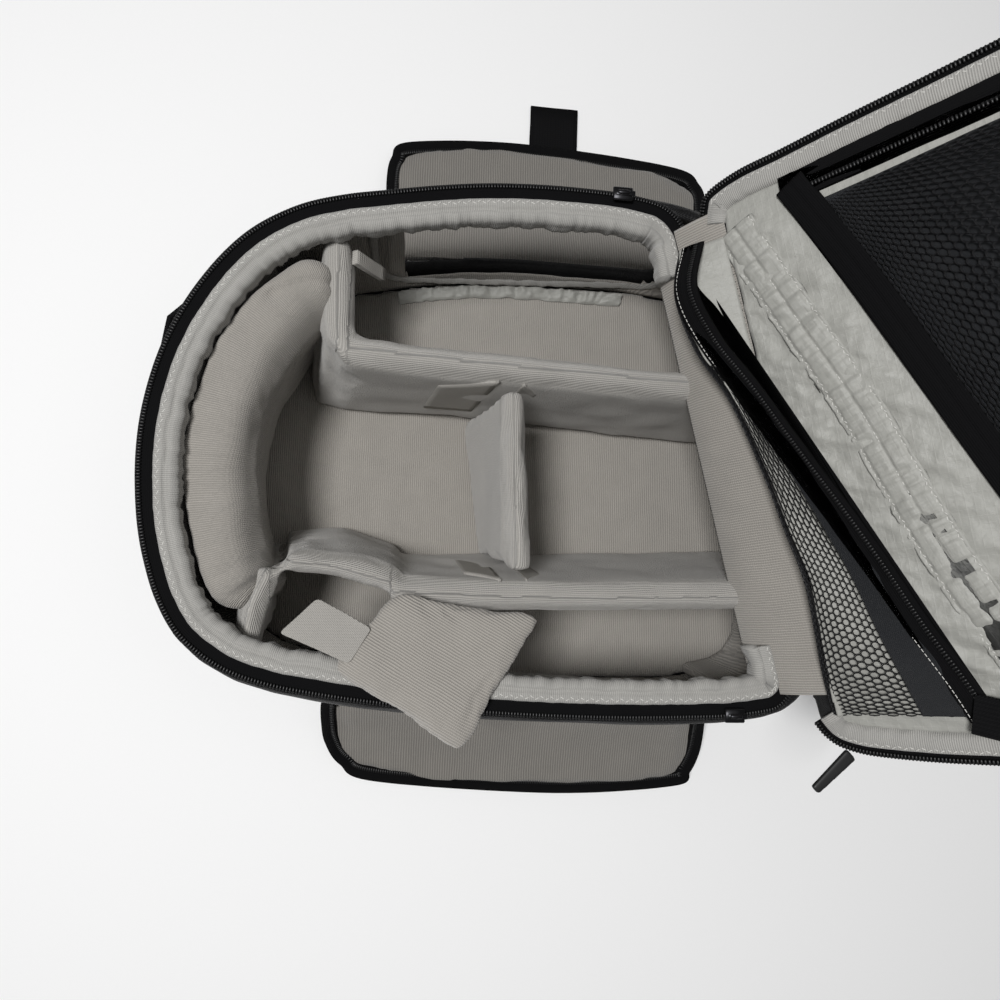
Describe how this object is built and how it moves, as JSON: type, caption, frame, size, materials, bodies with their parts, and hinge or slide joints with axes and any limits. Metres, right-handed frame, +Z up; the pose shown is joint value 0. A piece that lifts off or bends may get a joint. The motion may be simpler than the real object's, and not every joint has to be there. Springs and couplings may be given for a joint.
{
  "type": "camera backpack",
  "caption": "Camera backpack lying open on its harness: padded tub with grey dividers, lid with net pockets raised, side doors folded out.",
  "frame": {"origin": "on the ground under the middle of the open pack's box", "axes": "+Z up; +X from the pack's arched top end to its hinged bottom end; +Y to the far side door"},
  "size_m": [0.6398, 0.5672, 0.4722],
  "materials": {
    "black_nylon": "matte woven nylon over foam",
    "grey_knit": "matte fine-ribbed knit velour over foam",
    "grey_loop": "fuzzy brushed loop pile, ribbed along the top edges",
    "grey_binding": "soft ribbed binding tape, gathered",
    "hook_tape": "flat woven hook tape",
    "grey_nylon": "thin crinkled ripstop nylon with a slight sheen",
    "black_webbing": "tight woven polyester tape and webbing",
    "black_net": "open knitted net",
    "slider_metal": "satin black paint over cast metal",
    "pull_rubber": "matte moulded rubber"
  },
  "bodies": {
    "root": {"shell": "black_nylon", "lid_panel": "black_nylon", "lid_hinge": "black_nylon", "back_pad": "black_nylon", "far_shoulder_strap": "black_nylon", "near_shoulder_strap": "black_nylon", "lining": "grey_knit", "floor_pad": "grey_knit", "slot_pocket": "grey_knit", "top_pillow": "grey_knit", "end_pad": "grey_knit", "corner_pad": "grey_knit", "loose_divider": "grey_knit", "far_flap": "grey_knit", "near_flap": "grey_knit", "divider_upper": "grey_loop", "divider_stub": "grey_loop", "divider_lower": "grey_loop", "divider_lower_middle": "grey_loop", "divider_lower_end": "grey_loop", "divider_cross": "grey_loop", "rim_binding": "grey_binding", "lid_binding": "grey_binding", "far_door_binding": "grey_binding", "near_door_binding": "grey_binding", "hook_tab_far_left": "hook_tape", "hook_tab_far_right": "hook_tape", "hook_tab_near_left": "hook_tape", "hook_tab_near_right": "hook_tape", "stub_flap": "hook_tape", "loose_divider_tab": "hook_tape", "lid_lining": "grey_nylon", "lid_gathered_strip": "grey_nylon", "far_door_ruffle": "grey_nylon", "rim_zip": "black_webbing", "lid_zip": "black_webbing", "far_flap_edge": "black_webbing", "near_flap_edge": "black_webbing", "lid_pocket_band": "black_webbing", "lid_high_band": "black_webbing", "lid_high_zip": "black_webbing", "lid_zip_garage": "black_webbing", "side_strap": "black_webbing", "grab_loop": "black_webbing", "far_shoulder_webbing": "black_webbing", "near_shoulder_webbing": "black_webbing", "lid_pocket_net": "black_net", "lid_high_net": "black_net", "far_slider": "slider_metal", "near_slider": "slider_metal", "lid_pull": "pull_rubber"}
  },
  "joints": []
}
